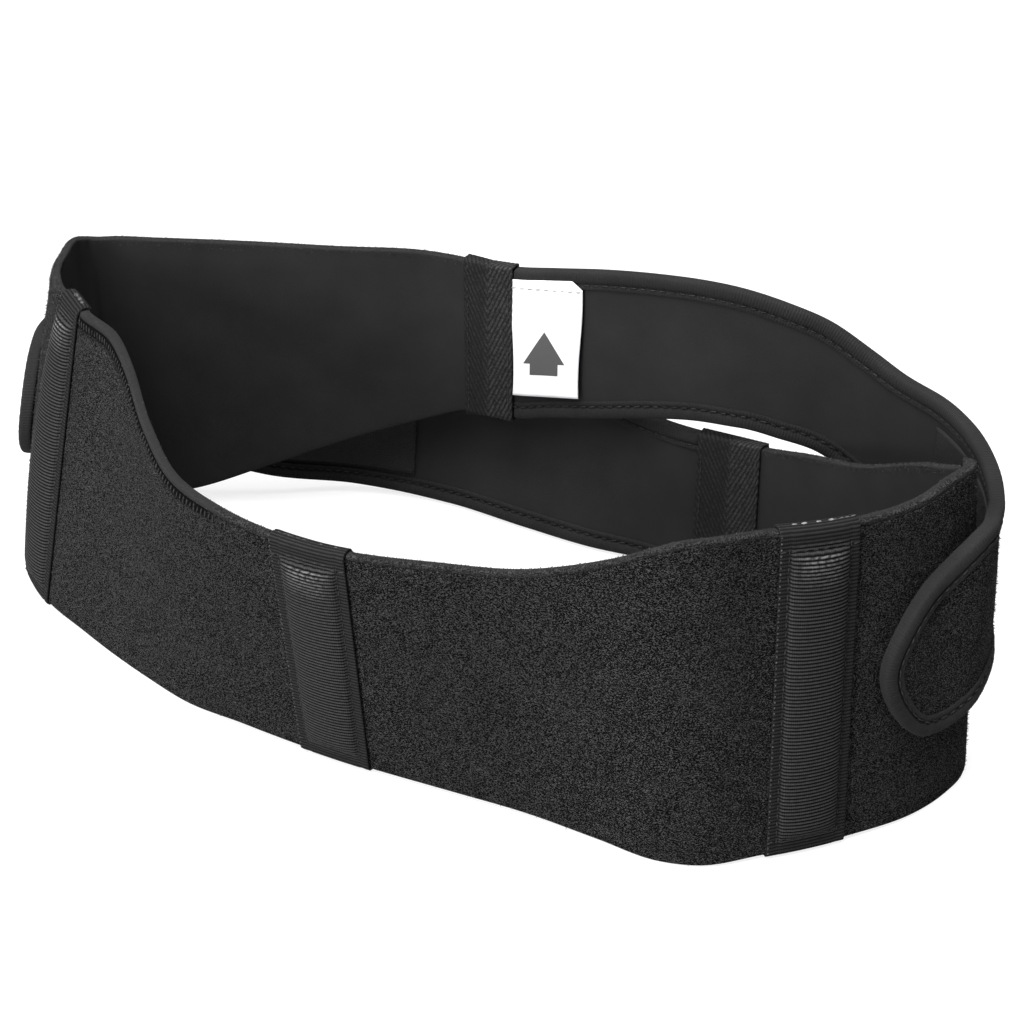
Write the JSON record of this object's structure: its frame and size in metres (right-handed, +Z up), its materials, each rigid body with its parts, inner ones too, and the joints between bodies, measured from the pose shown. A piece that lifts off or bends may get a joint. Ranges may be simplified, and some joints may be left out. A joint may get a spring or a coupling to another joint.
{
  "type": "postpartum belly band",
  "caption": "Black wrap-around belly support band with a scooped front, ribbed stay ribbons and crossing bound straps that stick to its outer face; stands on its lower edge as a loop.",
  "frame": {"origin": "under the middle of the part's box, on the surface it stands on", "axes": "+Z up, the scooped front faces -Y, +X to the right seen from the front"},
  "size_m": [0.3778, 0.1908, 0.1209],
  "materials": {
    "pile": "brushed loop pile, matt",
    "knit": "smooth fine knit, matt",
    "ribbon": "ribbed grosgrain, satin sheen",
    "tape": "herringbone woven tape",
    "edging": "folded knit binding",
    "hooks": "fine hook tape",
    "satin": "white satin label"
  },
  "bodies": {
    "root": {"band_face": "pile", "band_lining": "knit", "stay_ribbon_left": "ribbon", "stay_ribbon_centre": "ribbon", "stay_ribbon_right": "ribbon", "joint_tape_left": "tape", "joint_tape_right": "tape", "strap_upper_face": "pile", "strap_upper_lining": "knit", "strap_lower_face": "pile", "strap_lower_lining": "knit", "binding_upper": "edging", "binding_lower": "edging", "hook_patch_upper": "hooks", "hook_patch_lower": "hooks", "label": "satin"}
  },
  "joints": []
}
